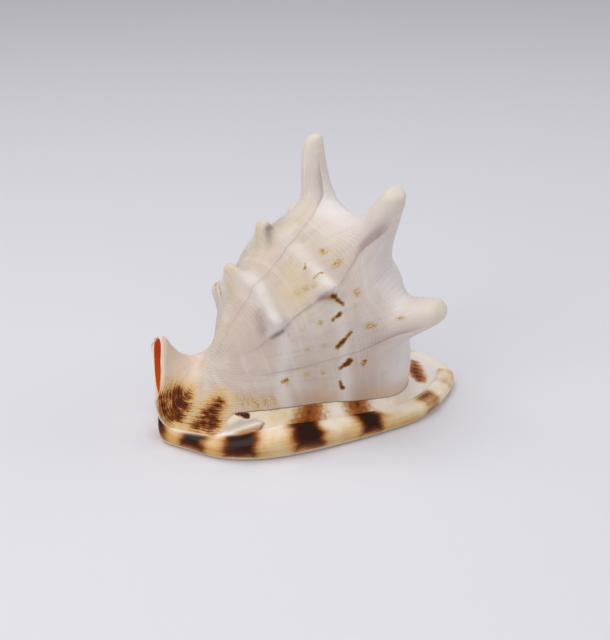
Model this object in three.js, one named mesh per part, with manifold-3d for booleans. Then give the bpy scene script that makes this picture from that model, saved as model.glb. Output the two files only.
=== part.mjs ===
// Horned helmet shell, lying on its flat underside as it does on a table.
// Millimetres, +Z up. The canal end is at -X and the spire at +X. The parietal shield is on the
// -Y side and the outer lip on the +Y side.
import * as THREE from "three";
import { mergeVertices } from "three/addons/utils/BufferGeometryUtils.js";
import Module from "manifold-3d";

const wasm = await Module();
wasm.setup();
const { degToRad, lerp, radToDeg, smoothstep } = THREE.MathUtils;

// The coil's axis rises towards the spire, and the last whorl turns round it
const SHOULDER_CENTRE = new THREE.Vector3(43, -2, 76);
const AXIS_TILT = degToRad(14);
const AXIS = new THREE.Vector3(Math.cos(AXIS_TILT), 0, Math.sin(AXIS_TILT));
const DORSAL = new THREE.Vector3(-Math.sin(AXIS_TILT), 0, Math.cos(AXIS_TILT));
const PARIETAL = new THREE.Vector3(0, -1, 0);

// Radius over the back by distance along the axis, counted from the shoulder
const WHORL_PROFILE = [
  [-124, 3],
  [-116, 7],
  [-104, 16.5],
  [-82, 39.5],
  [-50, 57.5],
  [-22, 63],
  [-8, 60],
  [0, 53],
  [6, 42],
  [11, 28],
  [15, 13],
  [16.5, 3],
];
// Share of that radius by angle, from the shield side over the back to the lip side
const WHORL_GROWTH = [
  [-90, 0.8],
  [0, 0.85],
  [60, 0.96],
  [90, 0.99],
  [130, 0.965],
  [180, 0.98],
  [270, 1.04],
];
const WALL_DROP = 2; // below the axis the section is an ellipse this much taller than wide

// Spiral ridges that carry the smaller knobs: place along the axis by angle, angle and height of each
// swell, and half widths to the front and back. A swell starts full at its knob and fades along the turn.
const RIDGES = [
  {
    line: [[37, -50], [97, -56], [150, -58]],
    swells: [[37, 5.5], [97, 4], [152, 4], [215, 3]],
    front: 4.5,
    back: 6.5,
  },
  {
    line: [[36, -80], [100, -85], [150, -85]],
    swells: [[36, 5], [100, 6.5], [147, 4], [215, 3]],
    front: 4,
    back: 8,
  },
];
const SWELL_START = 5; // degrees
const SWELL_FADE = 34;
const KNOBS = [
  { angle: 98, along: -56, height: 11, radius: 7 },
  { angle: 37, along: -50, height: 2, radius: 7 },
  { angle: 100, along: -84.5, height: 11, radius: 5.5 },
  { angle: 36, along: -80, height: 2, radius: 7 },
  { angle: 147, along: -84, height: 4.5, radius: 5.5 },
  { angle: 64, along: -8, height: 3.5, radius: 9 },
];
const KNOB_SHARPNESS = 3;

// Horns of the shoulder: angle round the axis, place along it, tip, bend of the middle, girth, spread
// of the root
const HORNS = [
  { angle: 103, along: -8, tip: [15.7, 12.8, 174.7], bow: [-2.2, 1.5, 0], girth: 8, spread: 26 },
  { angle: 52, along: -7, tip: [24, -59.7, 157.5], bow: [-0.6, 0.4, 0], girth: 10.6, spread: 32 },
  { angle: -4, along: -10, tip: [38.5, -86, 89], bow: [0, 0, 0], girth: 11, spread: 33 },
  { angle: 146, along: -5, tip: [31, 58, 112], bow: [0, 0, 0], girth: 9, spread: 24 },
];
// Outline of a horn by share of its root spread: radius in girths and share of its height
const HORN_RADIUS = [
  [0, 0],
  [0.08, 0.45],
  [0.16, 0.68],
  [0.28, 0.86],
  [0.41, 1],
  [0.54, 1.14],
  [0.67, 1.42],
  [0.82, 2],
  [1, 2.75],
];
const HORN_HEIGHT = [
  [0, 1],
  [0.08, 0.98],
  [0.16, 0.91],
  [0.28, 0.72],
  [0.41, 0.49],
  [0.54, 0.29],
  [0.67, 0.14],
  [0.82, 0.05],
  [1, 0],
];

// Stations round the margin, from the canal along the shield, round the spire end and back along
// the lip: foot of the rim on the table, the crest's inset from it and height, the crease between
// flange and whorl, the height where the whorl's own wall ends, and grid lines to the next.
const MARGIN = [
  { foot: [-90.5, 22], inset: -0.6, crest: 61.5, crease: [-87.5, 20.8, 61], wall: 43, lines: 2 },
  { foot: [-93, 18.5], inset: 0, crest: 50, crease: [-90.3, 17, 49.5], wall: 43, lines: 2 },
  { foot: [-94.5, 15.5], inset: -2.5, crest: 36, crease: [-93.8, 13.6, 36], wall: 44, lines: 2 },
  { foot: [-95.5, 11], inset: -3.6, crest: 25.5, crease: [-95.6, 10, 25.5], wall: 46, lines: 2 },
  { foot: [-95.5, 4.5], inset: -1.5, crest: 14, crease: [-92, 5.5, 15.5], wall: 48, lines: 3 },
  { foot: [-90.5, -10], inset: 2.5, crest: 11, crease: [-84, -8, 13.5], wall: 51, lines: 4 },
  { foot: [-80, -29], inset: 6, crest: 11.5, crease: [-73.5, -22.5, 14.5], wall: 51, lines: 5 },
  { foot: [-62, -43], inset: 9, crest: 14, crease: [-58, -30, 18.5], wall: 48, lines: 6 },
  { foot: [-38, -51], inset: 9, crest: 15.5, crease: [-39.5, -34.8, 24], wall: 42, lines: 7 },
  { foot: [-10, -55], inset: 8, crest: 14, crease: [-14.5, -38.5, 23], wall: 36, lines: 8 },
  { foot: [20, -57], inset: 7, crest: 12, crease: [10, -45.5, 20.5], wall: 30, lines: 8 },
  { foot: [48, -56], inset: 7, crest: 11, crease: [36, -45, 15.7], wall: 25, lines: 8 },
  { foot: [76, -44], inset: 7, crest: 10.5, crease: [54, -35.5, 13.5], wall: 22, lines: 6 },
  { foot: [96, -27.5], inset: 7, crest: 10, crease: [66, -21, 13], wall: 21, lines: 5 },
  { foot: [100, -9], inset: 6, crest: 10, crease: [71, -5, 15], wall: 22, lines: 4 },
  { foot: [92.5, 15.5], inset: 6, crest: 11, crease: [68, 15, 19], wall: 26, lines: 4 },
  { foot: [78, 48], inset: 6, crest: 13, crease: [60, 34, 22], wall: 30, lines: 4 },
  { foot: [48, 70], inset: 6, crest: 15, crease: [40, 54, 23], wall: 31, lines: 4 },
  { foot: [10, 79], inset: 6, crest: 15, crease: [8, 62, 23], wall: 32, lines: 4 },
  { foot: [-26, 77], inset: 6, crest: 14, crease: [-22, 61, 22], wall: 36, lines: 4 },
  { foot: [-54, 66], inset: 6, crest: 13, crease: [-46, 52, 20], wall: 42, lines: 4 },
  { foot: [-73, 50], inset: 4, crest: 13, crease: [-67, 43, 17], wall: 48, lines: 3 },
  { foot: [-84, 38], inset: 1, crest: 22, crease: [-81.5, 35.5, 22], wall: 47, lines: 2 },
  { foot: [-89.5, 32], inset: 0, crest: 38, crease: [-86.8, 31, 37.5], wall: 45, lines: 2 },
  { foot: [-91.5, 28.5], inset: -2, crest: 52, crease: [-88.5, 28.2, 51.5], wall: 43, lines: 2 },
  { foot: [-90.5, 25], inset: -2.2, crest: 62, crease: [-87.5, 24.8, 61.5], wall: 43, lines: 2 },
];
const PROW_CREST = [16, 50]; // crests from the first height to the second turn into the canal
const PROW_FLARE = 1.2; // the canal's wall turns up by this share of its length
const APRON_WALL = [30, 42]; // walls ending between these heights pass smoothly into the flange
const APRON_EASE = 0.8;
const TROUGH = { at: 0.6, dip: 1.2 }; // the flange sags between crease and crest
const RIM_BULGE = 3; // the rolled rim leans out past its foot
// Section of the rim from the crest down: share of the bulge, share of the crest's height
const RIM_SECTION = [
  [0.8, 0.74],
  [1, 0.42],
  [0.5, 0.12],
];
const REST_WIDTH = 7; // flat band under the rim that meets the table
const NAVEL = new THREE.Vector3(5, 8, 6); // the underside is a little hollow inside that band
const HOLLOW_STEPS = [0.25, 0.6];

// Behind the canal the fold where the wall meets the apron is softened: share of the wall before its
// end and of the apron after it, share of the margin to each side of a middle, and passes
const NECK = { wall: [-0.43, -0.17], apron: [0.28, 0.92], middle: 0.14, span: [0.14, 0.24], passes: 24 };
const SADDLE = { at: new THREE.Vector3(-72, 17, 48), sag: 4, reach: 14 };

// The opening up the canal's groove and along the underside: middle of the cut, half width, half
// depth, and the way it faces, from 0 (the table) to 1 (the canal's end)
const OPENING = [
  { at: [-100, 24, 68], width: 1.5, depth: 8, facing: 1 },
  { at: [-99, 23.7, 58], width: 3.6, depth: 13, facing: 1 },
  { at: [-102, 23, 40], width: 6, depth: 17, facing: 1 },
  { at: [-102, 20.5, 18], width: 6, depth: 19, facing: 0.8 },
  { at: [-88, 16, 0], width: 5, depth: 15, facing: 0.5 },
  { at: [-62, 13, 2], width: 4.5, depth: 16, facing: 0 },
  { at: [-30, 13, 4], width: 6, depth: 20, facing: 0 },
  { at: [5, 16, 5], width: 7, depth: 23, facing: 0 },
  { at: [38, 20, 4], width: 6.5, depth: 20, facing: 0 },
  { at: [58, 23, 2], width: 5, depth: 13, facing: 0 },
];
const TEETH = { count: 10, depth: 1.8, from: 0.5 }; // along the outer lip, past this share of it

// Grid of the surface
const CROWN = new THREE.Vector3(-24, -2, 140); // the columns start over here
const HEART = new THREE.Vector3(-4, 4, 62); // the whole whorl is in sight from here
const HORN_PULL = { amount: 0.6, reach: 24 }; // columns close up round a horn within this angle
const WHORL_RINGS = 24;
const APRON_RINGS = 4;
const CUT_RINGS = 44;
const CUT_SIDES = 12;
const TINY = 1e-6;

// Cubic curve through [x, value] stations
function valueAt(stations, x) {
  const last = stations.length - 1;
  if (x <= stations[0][0]) return stations[0][1];
  if (x >= stations[last][0]) return stations[last][1];
  const i = stations.findIndex(([to]) => to > x) - 1;
  const slope = (k) => {
    const [xa, ya] = stations[Math.max(k - 1, 0)];
    const [xb, yb] = stations[Math.min(k + 1, last)];
    return (yb - ya) / (xb - xa);
  };
  const [x0, y0] = stations[i];
  const [x1, y1] = stations[i + 1];
  const t = (x - x0) / (x1 - x0);
  const s = 1 - t;
  const ends = y0 * s * s * (1 + 2 * t) + y1 * t * t * (1 + 2 * s);
  return ends + (x1 - x0) * t * s * (slope(i) * s - slope(i + 1) * t);
}

// A point's place along the coil's axis, its angle round it and its distance from it
function coilPlace(p) {
  const v = p.clone().sub(SHOULDER_CENTRE);
  const across = v.dot(PARIETAL);
  const up = v.dot(DORSAL);
  return { along: v.dot(AXIS), angle: Math.atan2(up, across), radius: Math.hypot(up, across) };
}

function coilPoint(along, angle, radius) {
  return SHOULDER_CENTRE.clone()
    .addScaledVector(AXIS, along)
    .addScaledVector(PARIETAL, radius * Math.cos(angle))
    .addScaledVector(DORSAL, radius * Math.sin(angle));
}

// Height of the ridges over the plain wall
function ridgeHeight(along, degrees) {
  return RIDGES.reduce((total, { line, swells, front, back }) => {
    const off = along - valueAt(line, degrees);
    const section = Math.exp(-((off / (off < 0 ? front : back)) ** 2));
    const heights = swells.map(([from, height]) => {
      const past = degrees - from;
      const before = Math.exp(-((past / SWELL_START) ** 2));
      const after = 1 / (1 + (past / SWELL_FADE) ** 2);
      return height * (past < 0 ? before : after);
    });
    return total + section * Math.max(...heights);
  }, 0);
}

function whorlRadius(along, angle) {
  const turn = radToDeg(angle);
  const degrees = turn < -90 ? turn + 360 : turn;
  const rise = Math.sin(angle);
  const stretch = rise < 0 ? 1 / Math.hypot(Math.cos(angle), rise / WALL_DROP) : 1;
  const radius = valueAt(WHORL_PROFILE, along) + ridgeHeight(along, degrees);
  return radius * valueAt(WHORL_GROWTH, degrees) * stretch;
}

// Where a ray from the heart leaves the whorl
function whorlHit(direction) {
  const stride = 4;
  const outside = (d) => {
    const { along, angle, radius } = coilPlace(HEART.clone().addScaledVector(direction, d));
    const past = along < WHORL_PROFILE[0][0] || along > WHORL_PROFILE.at(-1)[0];
    return past || radius > whorlRadius(along, angle);
  };
  let far = stride;
  while (!outside(far)) far += stride;
  let near = far - stride;
  while (far - near > TINY) {
    const middle = (near + far) / 2;
    if (outside(middle)) far = middle;
    else near = middle;
  }
  return HEART.clone().addScaledVector(direction, near);
}

const horns = HORNS.map((horn) => {
  const angle = degToRad(horn.angle);
  const root = coilPoint(horn.along, angle, whorlRadius(horn.along, angle));
  const reach = new THREE.Vector3(...horn.tip).sub(root);
  const bearing = root.clone().sub(HEART).normalize();
  return { ...horn, root, bearing, height: reach.length(), axis: reach.clone().normalize() };
});
const knobs = KNOBS.map((knob) => {
  const angle = degToRad(knob.angle);
  const root = coilPoint(knob.along, angle, whorlRadius(knob.along, angle));
  return { ...knob, root, axis: coilPoint(0, angle, 1).sub(SHOULDER_CENTRE) };
});

// Grid directions close up round the horns
function drawnIn(direction) {
  const moved = direction.clone();
  for (const { bearing } of horns) {
    const angle = moved.angleTo(bearing);
    const pull = HORN_PULL.amount * Math.exp(-((angle / degToRad(HORN_PULL.reach)) ** 2));
    const hinge = new THREE.Vector3().crossVectors(moved, bearing);
    if (hinge.length() > TINY) moved.applyAxisAngle(hinge.normalize(), angle * pull);
  }
  return moved;
}

// Knobs and horns are the whorl's wall drawn out along their axes
function drawOut(p) {
  const moved = p.clone();
  for (const { root, axis, height, radius } of knobs) {
    const away = p.distanceTo(root);
    moved.addScaledVector(axis, height / (1 + (away / radius) ** KNOB_SHARPNESS));
  }
  for (const { root, axis, height, bow, girth, spread } of horns) {
    const v = moved.clone().sub(root);
    const away = Math.max(v.length(), TINY);
    const share = away / spread;
    if (share >= 1) continue;
    const along = v.dot(axis);
    const side = v.addScaledVector(axis, -along);
    const fullRadius = HORN_RADIUS.at(-1)[1] * girth;
    const radius = valueAt(HORN_RADIUS, share) * girth * lerp(1, spread / fullRadius, share);
    const rise = valueAt(HORN_HEIGHT, share);
    moved.copy(root).addScaledVector(axis, lerp(along, height, rise));
    moved.addScaledVector(side, radius / away);
    moved.addScaledVector(new THREE.Vector3(...bow), 4 * rise * (1 - rise));
  }
  return moved;
}

// Closed curves through the margin's stations
const loop = (points) => new THREE.CatmullRomCurve3(points, true, "catmullrom", 0.5);
const footCurve = loop(MARGIN.map((s) => new THREE.Vector3(...s.foot, 0)));
const creaseCurve = loop(MARGIN.map((s) => new THREE.Vector3(...s.crease)));
const sizeCurve = loop(MARGIN.map((s) => new THREE.Vector3(s.inset, s.crest, s.wall)));

// Cubic from one point to another, leaving and arriving along the given spans
function bridge(from, leave, to, arrive, t) {
  const s = 1 - t;
  return from.clone()
    .multiplyScalar(s * s * (1 + 2 * t))
    .addScaledVector(leave, s * s * t)
    .addScaledVector(to, t * t * (1 + 2 * s))
    .addScaledVector(arrive, -s * t * t);
}

// One column of the grid, from the crown over whorl, flange and rim to the underside
function column(u) {
  const foot = footCurve.getPoint(u);
  const tangent = footCurve.getTangent(u);
  const outward = new THREE.Vector3(tangent.y, -tangent.x, 0);
  const offset = (out, z) => foot.clone().addScaledVector(outward, out).setZ(z);
  const crease = creaseCurve.getPoint(u);
  const { x: inset, y: crest, z: wallEnd } = sizeCurve.getPoint(u);
  const prow = smoothstep(crest, ...PROW_CREST);

  const start = CROWN.clone().sub(HEART).normalize();
  const target = crease.clone().setZ(wallEnd).sub(HEART).normalize();
  const turn = start.angleTo(target);
  const hinge = new THREE.Vector3().crossVectors(start, target).normalize();
  const points = [];
  for (let k = 1; k <= WHORL_RINGS; k += 1) {
    const direction = start.clone().applyAxisAngle(hinge, (turn * k) / WHORL_RINGS);
    points.push(drawOut(whorlHit(drawnIn(direction))));
  }

  const [before, wall] = points.slice(-2);
  const chord = crease.clone().sub(wall);
  const ease = APRON_EASE * smoothstep(wallEnd, ...APRON_WALL);
  const leave = wall.clone().sub(before).setLength(chord.length()).lerp(chord, ease);
  const arrive = chord.clone();
  arrive.z += prow * PROW_FLARE * chord.length();
  for (let k = 1; k <= APRON_RINGS; k += 1) {
    points.push(bridge(wall, leave, crease, arrive, k / APRON_RINGS));
  }

  const crestPoint = offset(-inset, crest);
  const trough = crease.clone().lerp(crestPoint, TROUGH.at);
  trough.z -= TROUGH.dip * (1 - prow);
  points.push(trough, crestPoint);
  const brow = offset(-inset, crest).lerp(offset(0, crest), 0.6);
  points.push(brow.setZ(0.97 * crest));
  const bulge = lerp(RIM_BULGE, 0.2 * RIM_BULGE, prow);
  for (const [out, up] of RIM_SECTION) points.push(offset(bulge * out, crest * up));
  const inner = offset(-REST_WIDTH, 0);
  points.push(offset(0, 0), inner);
  for (const t of HOLLOW_STEPS) {
    points.push(inner.clone().lerp(NAVEL, t).setZ(NAVEL.z * Math.sqrt(t)));
  }
  return points;
}

// Each point near the neck drifts towards its neighbours, and the saddle behind the canal sags
function softened(columns, stations) {
  const last = WHORL_RINGS - 1;
  const weight = (j, k) => {
    const place = (k - last) / (k < last ? WHORL_RINGS : APRON_RINGS);
    const turned = stations[j] - NECK.middle;
    const away = Math.abs(turned - Math.round(turned));
    const held = smoothstep(place, ...NECK.wall) * (1 - smoothstep(place, ...NECK.apron));
    return held * (1 - smoothstep(away, ...NECK.span));
  };
  let now = columns;
  for (let pass = 0; pass < NECK.passes; pass += 1) {
    now = now.map((points, j) =>
      points.map((p, k) => {
        const share = weight(j, k);
        if (share === 0) return p;
        const beside = [now.at(j - 1)[k], now[(j + 1) % now.length][k], points[k - 1], points[k + 1]];
        return p.clone().lerp(centreOf(beside), share / 2);
      }),
    );
  }
  return now.map((points) =>
    points.map((p, k) => {
      if (k >= WHORL_RINGS + APRON_RINGS - 1) return p;
      const away = p.distanceTo(SADDLE.at) / SADDLE.reach;
      return p.clone().setZ(p.z - SADDLE.sag * Math.exp(-(away ** 2)));
    }),
  );
}

// Closed surface from columns of points that meet at a first and a last point
function closedGrid(columns, first, last) {
  const rings = columns[0].length;
  const vertices = [first, last, ...columns.flat()];
  const at = (j, k) => 2 + (j % columns.length) * rings + k;
  const gap = (a, b) => vertices[a].distanceTo(vertices[b]);
  const index = [];
  for (let j = 0; j < columns.length; j += 1) {
    index.push(0, at(j, 0), at(j + 1, 0));
    for (let k = 0; k + 1 < rings; k += 1) {
      const [a, b, c, d] = [at(j, k), at(j, k + 1), at(j + 1, k + 1), at(j + 1, k)];
      if (gap(a, c) < gap(b, d)) index.push(a, b, c, a, c, d);
      else index.push(a, b, d, b, c, d);
    }
    index.push(1, at(j + 1, rings - 1), at(j, rings - 1));
  }
  const geometry = new THREE.BufferGeometry().setFromPoints(vertices);
  geometry.setIndex(index);
  return geometry;
}

// Sides of the cut that makes the opening
function cutSides() {
  const spread = (stations) => new THREE.CatmullRomCurve3(stations);
  const middle = spread(OPENING.map((s) => new THREE.Vector3(...s.at)));
  const size = spread(OPENING.map((s) => new THREE.Vector3(s.width, s.depth, s.facing)));
  const sides = Array.from({ length: CUT_SIDES }, () => []);
  for (let k = 0; k <= CUT_RINGS; k += 1) {
    const u = k / CUT_RINGS;
    const { x: width, y: depth, z: facing } = size.getPoint(u);
    const lean = (facing * Math.PI) / 2;
    const out = new THREE.Vector3(-Math.sin(lean), 0, -Math.cos(lean));
    const wave = Math.sin(Math.PI * TEETH.count * (u - TEETH.from) / (1 - TEETH.from)) ** 2;
    const tooth = u > TEETH.from ? TEETH.depth * wave : 0;
    sides.forEach((side, j) => {
      const angle = (2 * Math.PI * j) / CUT_SIDES;
      const reach = Math.cos(angle) > 0 ? width - tooth : width;
      const p = middle.getPoint(u).addScaledVector(out, depth * Math.sin(angle));
      p.y += reach * Math.cos(angle);
      side.push(p);
    });
  }
  return sides;
}

function centreOf(points) {
  return points.reduce((sum, p) => sum.add(p), new THREE.Vector3()).divideScalar(points.length);
}

function solid(geometry) {
  const merged = mergeVertices(geometry, TINY);
  const vertProperties = new Float32Array(merged.attributes.position.array);
  const triVerts = new Uint32Array(merged.index.array);
  return new wasm.Manifold(new wasm.Mesh({ numProp: 3, vertProperties, triVerts }));
}

const stations = MARGIN.flatMap(({ lines }, i) =>
  Array.from({ length: lines }, (_, k) => (i + k / lines) / MARGIN.length),
);
const columns = softened(stations.map(column), stations);
const crown = drawOut(whorlHit(drawnIn(CROWN.clone().sub(HEART).normalize())));
const whole = solid(closedGrid(columns, crown, NAVEL));

const sides = cutSides();
const cutStart = centreOf(sides.map((side) => side[0]));
const cutEnd = centreOf(sides.map((side) => side.at(-1)));
const opened = whole.subtract(solid(closedGrid(sides, cutStart, cutEnd))).getMesh();

const geometry = new THREE.BufferGeometry();
geometry.setAttribute("position", new THREE.BufferAttribute(opened.vertProperties, 3));
geometry.setIndex(new THREE.BufferAttribute(opened.triVerts, 1));
geometry.computeBoundingBox();
const { min, max } = geometry.boundingBox;
geometry.translate(-(min.x + max.x) / 2, -(min.y + max.y) / 2, -min.z);
geometry.computeVertexNormals();

const material = new THREE.MeshStandardMaterial({ color: 0xe6dcd3, roughness: 0.45, metalness: 0 });
const shell = new THREE.Mesh(geometry, material);
shell.name = "shell";
const part = new THREE.Group();
part.add(shell);
export default part;
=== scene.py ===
# %% [markdown]
# # A horned helmet shell
# This lesson grows a large sea shell as one closed surface. A ball of columns and rings is pulled into
# the shape of the last whorl, its horns, the flange and the underside, and the opening is cut out of it.
# All markings are then painted by numbers that ride on the vertices.

import bmesh
import bpy
import numpy as np
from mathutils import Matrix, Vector


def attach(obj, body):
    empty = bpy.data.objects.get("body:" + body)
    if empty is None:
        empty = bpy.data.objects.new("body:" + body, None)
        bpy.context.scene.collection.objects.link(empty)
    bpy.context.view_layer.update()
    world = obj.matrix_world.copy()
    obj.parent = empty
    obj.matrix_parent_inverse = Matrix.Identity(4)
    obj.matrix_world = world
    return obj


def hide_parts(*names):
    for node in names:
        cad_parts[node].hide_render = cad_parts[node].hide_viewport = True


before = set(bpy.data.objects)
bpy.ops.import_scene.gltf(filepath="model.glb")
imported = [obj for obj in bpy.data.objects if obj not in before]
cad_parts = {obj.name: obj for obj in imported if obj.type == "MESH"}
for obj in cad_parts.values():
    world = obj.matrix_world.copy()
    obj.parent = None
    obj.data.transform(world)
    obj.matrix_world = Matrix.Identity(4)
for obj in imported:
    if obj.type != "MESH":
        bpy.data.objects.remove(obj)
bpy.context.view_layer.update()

# %% [markdown]
# ## Curves to draw with
# Most of the form is given by a few stations and a smooth curve through them. One helper runs a curve
# through values along a line, the other closes it round the margin of the shell.

# %% Curves through stations
def through(stations, x):
    """Cubic curve through (x, value) stations, level past both ends."""
    xs, ys = np.array(stations, float).T
    last = len(xs) - 1
    low = np.maximum(np.arange(last + 1) - 1, 0)
    high = np.minimum(np.arange(last + 1) + 1, last)
    slopes = (ys[high] - ys[low]) / (xs[high] - xs[low])
    x = np.clip(x, xs[0], xs[last])
    i = np.clip(np.searchsorted(xs, x, side="right") - 1, 0, last - 1)
    span = xs[i + 1] - xs[i]
    t = (x - xs[i]) / span
    s = 1 - t
    ends = ys[i] * s * s * (1 + 2 * t) + ys[i + 1] * t * t * (1 + 2 * s)
    return ends + span * t * s * (slopes[i] * s - slopes[i + 1] * t)


def bridge(start, leave, end, arrive, t):
    """Cubic from one point to another, leaving and arriving along the given spans."""
    s = 1 - t
    return (start * s * s * (1 + 2 * t) + leave * s * s * t
            + end * t * t * (1 + 2 * s) - arrive * s * t * t)


def around(stations, u):
    """Points and directions of the closed curve through the stations, for u from 0 to 1."""
    ring = np.array(stations, float)
    place = np.asarray(u) * len(ring)
    i = np.floor(place).astype(int)
    t = (place - i)[:, None]
    before, here, there, beyond = (ring[(i + k) % len(ring)] for k in (-1, 0, 1, 2))
    leave, arrive = (there - before) / 2, (beyond - here) / 2
    point = bridge(here, leave, there, arrive, t)
    way = (6 * t * (1 - t) * (there - here) + (1 - t) * (1 - 3 * t) * leave
           - t * (2 - 3 * t) * arrive)
    return point, way


def smoothstep(low, high, x):
    t = np.clip((np.asarray(x, float) - low) / (high - low), 0, 1)
    return t * t * (3 - 2 * t)


def unit(v):
    return v / np.maximum(np.linalg.norm(v, axis=-1, keepdims=True), 1e-9)


print("halfway between 0 and 1 the curve is at", through(((0, 0), (1, 1)), 0.5))

# %% [markdown]
# ## The last whorl
# A shell winds round an axis. The last whorl hides nearly all older ones, so its wall is enough: a radius
# by place along the axis and by angle round it. Millimetres are handy here, and the finished points are
# turned into metres at the end.

# %% The coil
SHOULDER_CENTRE = np.array((43, -2, 76))
AXIS_TILT = np.radians(14)
AXIS = np.array((np.cos(AXIS_TILT), 0, np.sin(AXIS_TILT)))
DORSAL = np.array((-np.sin(AXIS_TILT), 0, np.cos(AXIS_TILT)))
PARIETAL = np.array((0, -1, 0))
WHORL_PROFILE = ((-124, 3), (-116, 7), (-104, 16.5), (-82, 39.5), (-50, 57.5), (-22, 63), (-8, 60), (0, 53),
                 (6, 42), (11, 28), (15, 13), (16.5, 3))
WHORL_GROWTH = ((-90, 0.8), (0, 0.85), (60, 0.96), (90, 0.99), (130, 0.965), (180, 0.98), (270, 1.04))
WALL_DROP = 2  # below the axis the section is an ellipse this much taller than wide


def coil_place(p):
    """Place along the axis, angle in degrees from -90 to 270, and distance from the axis."""
    v = p - SHOULDER_CENTRE
    across, up = v @ PARIETAL, v @ DORSAL
    angle = (np.degrees(np.arctan2(up, across)) + 90) % 360 - 90
    return v @ AXIS, angle, np.hypot(up, across)


def coil_point(along, angle, radius):
    turn = np.radians(angle)
    return (SHOULDER_CENTRE + AXIS * along + PARIETAL * radius * np.cos(turn)
            + DORSAL * radius * np.sin(turn))


# Two spiral ridges carry smaller knobs, each with its angle, its height and the angle over which it rises.
# They are steep in front, towards the canal, and gentle behind.
RIDGES = (
    dict(line=((37, -50), (60, -51), (85, -52.5), (97, -55.5), (150, -58)), front=3.6, back=6.5, fade=24,
         knobs=((37, 6.5, 5), (97, 6.5, 12), (152, 4, 5), (215, 3, 5))),
    dict(line=((36, -84.5), (50, -83.5), (64, -81.5), (76, -80), (88, -81.5), (99, -84.5), (150, -85)),
         front=2.8, back=6.5, fade=60, knobs=((36, 7, 5), (100, 8, 22), (147, 4, 5), (215, 3, 5))),
)
RIDGE_ROUNDNESS = 2.3


def ridge_swell(along, angle):
    """Height of the spiral ridges over the plain wall."""
    total = np.zeros(np.broadcast(along, angle).shape)
    for ridge in RIDGES:
        off = along - through(ridge["line"], angle)
        wide = np.where(off < 0, ridge["front"], ridge["back"])
        section = np.exp(-np.abs(off / wide) ** RIDGE_ROUNDNESS)
        tall = np.zeros_like(total)
        for knob, height, before in ridge["knobs"]:
            past = angle - knob
            fall = np.where(past < 0, np.exp(-(past / before) ** 2), 1 / (1 + (past / ridge["fade"]) ** 2))
            tall = np.maximum(tall, height * fall)
        total = total + tall * section
    return total


def whorl_radius(along, angle):
    rise = np.sin(np.radians(angle))
    stretch = np.where(rise < 0, 1 / np.hypot(np.cos(np.radians(angle)), rise / WALL_DROP), 1)
    radius = through(WHORL_PROFILE, along) + ridge_swell(along, angle)
    return radius * through(WHORL_GROWTH, angle) * stretch


print("the shoulder's radius is", round(float(whorl_radius(0, 90)), 1), "mm on top")

# %% [markdown]
# ## Horns and knobs
# A horn is the wall itself drawn out along an axis. Its outline is a curve from the tip to the wide root,
# so it passes smoothly into the whorl.

# %% Horns and knobs
HORNS = (
    dict(angle=103, along=-8, tip=(15.7, 12.8, 174.7), bow=(-2.2, 1.5, 0), girth=8, spread=26),
    dict(angle=52, along=-7, tip=(24, -59.7, 157.5), bow=(-0.6, 0.4, 0), girth=10.6, spread=32),
    dict(angle=-4, along=-10, tip=(38.5, -86, 89), bow=(0, 0, 0), girth=11, spread=33),
    dict(angle=146, along=-5, tip=(31, 58, 112), bow=(0, 0, 0), girth=9, spread=24),
)
HORN_RADIUS = ((0, 0), (0.08, 0.45), (0.16, 0.68), (0.28, 0.86), (0.41, 1), (0.54, 1.14), (0.67, 1.42),
               (0.82, 2), (1, 2.75))
HORN_HEIGHT = ((0, 1), (0.08, 0.98), (0.16, 0.91), (0.28, 0.72), (0.41, 0.49), (0.54, 0.29), (0.67, 0.14),
               (0.82, 0.05), (1, 0))
KNOBS = (
    dict(angle=97, along=-56, height=7.5, radius=6.2, length=9.5),
    dict(angle=39, along=-49.5, height=3.5, radius=5.5, length=5),
    dict(angle=99, along=-84.5, height=7.5, radius=5.2, length=8.5),
    dict(angle=38.5, along=-83.5, height=3, radius=5.5, length=5),
    dict(angle=147, along=-84, height=4.5, radius=5.5, length=6),
    dict(angle=64, along=-8, height=3.5, radius=9, length=9),
)
KNOB_SHARPNESS = 4.5
HORN_PULL = 0.6  # columns close up round a horn by this share
HORN_REACH = 24  # within about this angle
HEART = np.array((-4, 4, 62))  # the whole whorl is in sight from here

for horn in HORNS:
    horn["root"] = coil_point(horn["along"], horn["angle"], whorl_radius(horn["along"], horn["angle"]))
    horn["height"] = np.linalg.norm(np.array(horn["tip"]) - horn["root"])
    horn["axis"] = unit(np.array(horn["tip"]) - horn["root"])
    horn["bearing"] = unit(horn["root"] - HEART)
for knob in KNOBS:
    knob["root"] = coil_point(knob["along"], knob["angle"], whorl_radius(knob["along"], knob["angle"]))
    knob["axis"] = coil_point(0, knob["angle"], 1) - SHOULDER_CENTRE


def drawn_in(way):
    """Directions from the heart, closed up round the horns."""
    for horn in HORNS:
        angle = np.arccos(np.clip(way @ horn["bearing"], -1, 1))
        pull = angle * HORN_PULL * np.exp(-(angle / np.radians(HORN_REACH)) ** 2)
        hinge = unit(np.cross(way, horn["bearing"]))
        way = way * np.cos(pull)[..., None] + np.cross(hinge, way) * np.sin(pull)[..., None]
    return way


def whorl_hit(way):
    """Where rays from the heart leave the wall."""
    def outside(reach):
        along, angle, radius = coil_place(HEART + way * reach[..., None])
        past = (along < WHORL_PROFILE[0][0]) | (along > WHORL_PROFILE[-1][0])
        return past | (radius > whorl_radius(along, angle))

    stride, steps, halvings = 4.0, 60, 18
    far = np.zeros(way.shape[:-1])
    found = np.zeros(way.shape[:-1], bool)
    for step in range(1, steps):
        far = np.where(found, far, stride * step)
        found |= outside(far)
    near = far - stride
    for _ in range(halvings):
        middle = (near + far) / 2
        out = outside(middle)
        near, far = np.where(out, near, middle), np.where(out, middle, far)
    return HEART + way * near[..., None]


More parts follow.
